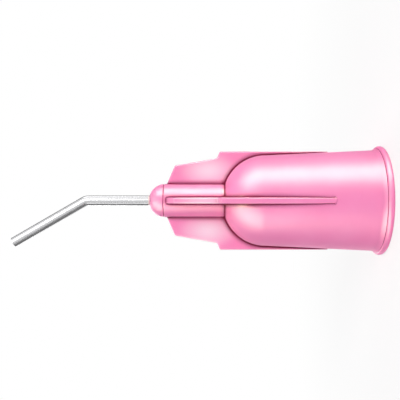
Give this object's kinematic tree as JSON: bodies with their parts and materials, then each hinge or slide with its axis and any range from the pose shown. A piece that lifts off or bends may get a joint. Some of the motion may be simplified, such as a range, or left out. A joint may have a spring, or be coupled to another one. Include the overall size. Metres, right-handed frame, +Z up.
{
  "type": "bent dispensing needle tip",
  "caption": "Bent dispensing needle tip: a moulded hub with a tapered lock socket and grip wings carries a bent steel cannula bonded into its nose.",
  "frame": {"origin": "centre of the rim's flat end face, on the hub's axis, where the tip stands", "axes": "+Z up the hub's axis from the socket's mouth to the nose; the cannula bends towards -X, in the XZ plane"},
  "size_m": [0.0078, 0.0078, 0.0266],
  "materials": {
    "hub_plastic": "pink moulded polypropylene, glossy",
    "cured_adhesive": "pale cured adhesive, glossy",
    "drawn_steel": "drawn stainless steel, bright"
  },
  "bodies": {
    "root": {"hub": "hub_plastic", "adhesive": "cured_adhesive", "cannula": "drawn_steel"}
  },
  "joints": []
}
